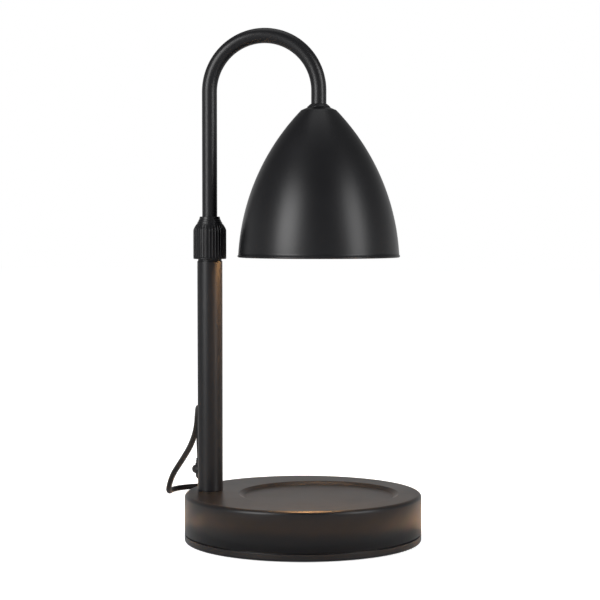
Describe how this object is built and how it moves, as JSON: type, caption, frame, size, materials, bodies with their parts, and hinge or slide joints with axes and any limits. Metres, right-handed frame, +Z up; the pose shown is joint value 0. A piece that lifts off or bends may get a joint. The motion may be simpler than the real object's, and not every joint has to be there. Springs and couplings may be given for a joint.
{
  "type": "candle warmer lamp",
  "caption": "Candle warmer lamp: a weighted round base with a dish, a post with a lock collar, a bent tube that slides and swings, a bell shade over a bulb, a lead and a dimmer.",
  "frame": {"origin": "centre of the round base, on the surface that the lamp stands on", "axes": "+Z up; +X from the post towards the shade; the post, the bend and the shade's axis lie in the XZ plane"},
  "size_m": [0.2046, 0.2781, 0.3243],
  "materials": {
    "black_paint": "satin black powder coat on steel",
    "cast_iron": "rough as cast",
    "bare_steel": "zinc plated",
    "foam_pad": "matt foam",
    "black_rubber": "satin",
    "cord_sheath": "satin moulded sheath",
    "nylon": "natural nylon",
    "brass": "bright",
    "ceramic": "unglazed white ceramic",
    "reflector": "facetted reflector glass, silvered inside",
    "bulb_glass": "clear",
    "black_plastic": "fine moulded grain",
    "circuit_board": "green board"
  },
  "bodies": {
    "stand": {"base_housing": "black_paint", "bottom_plate": "black_paint", "post_tube": "black_paint", "collar_seat": "black_paint", "ballast_disc": "cast_iron", "plate_screws": "bare_steel", "post_stud": "bare_steel", "foot_washer": "bare_steel", "foot_nut": "bare_steel", "dimmer_screws": "bare_steel", "foot_pad": "foam_pad", "cord_gland": "black_rubber", "lamp_cord": "cord_sheath", "cord_coil": "cord_sheath", "post_lead": "cord_sheath", "collet": "nylon", "plug_blades": "brass", "dimmer_case_base": "black_plastic", "dimmer_case_top": "black_plastic", "plug_body": "black_plastic", "cord_tie": "black_plastic", "dimmer_board": "circuit_board"},
    "lock_collar": {"lock_collar": "black_paint"},
    "slider": {"guide_bush": "nylon"},
    "arm": {"arm_tube": "black_paint", "bush_clips": "bare_steel", "arm_lead": "cord_sheath", "shade_ferrule": "black_paint", "shade_shell": "black_paint", "shade_washer": "bare_steel", "shade_nut": "bare_steel", "bracket_nut": "bare_steel", "holder_bracket": "bare_steel", "holder_screws": "bare_steel", "holder_body": "ceramic", "holder_contacts": "brass"},
    "bulb": {"bulb_pins": "bare_steel", "bulb_base": "ceramic", "bulb_reflector": "reflector", "bulb_lens": "bulb_glass", "bulb_capsule": "bulb_glass"},
    "dimmer_wheel": {"dimmer_wheel": "black_plastic"}
  },
  "joints": [
    {"name": "collar_turn", "type": "hinge", "parent": "stand", "child": "lock_collar", "pos_m": [-0.06, 0, 0.188], "axis": [0, 0, 1], "range_deg": [0, 180]},
    {"name": "arm_height", "type": "slide", "parent": "stand", "child": "slider", "axis": [0, 0, 1], "range_m": [-0.055, 0.025], "deforming": ["post_lead"]},
    {"name": "arm_swing", "type": "hinge", "parent": "slider", "child": "arm", "pos_m": [-0.06, 0, 0.117], "axis": [0, 0, 1], "range_deg": [-150, 150]},
    {"name": "bulb_twist", "type": "hinge", "parent": "arm", "child": "bulb", "pos_m": [0.01, 0, 0.2362], "axis": [0, 0, 1], "range_deg": [0, 30]},
    {"name": "dimmer_turn", "type": "hinge", "parent": "stand", "child": "dimmer_wheel", "pos_m": [-0.032, 0.094, 0.009], "axis": [0, 0, 1], "range_deg": [-135, 135]}
  ]
}
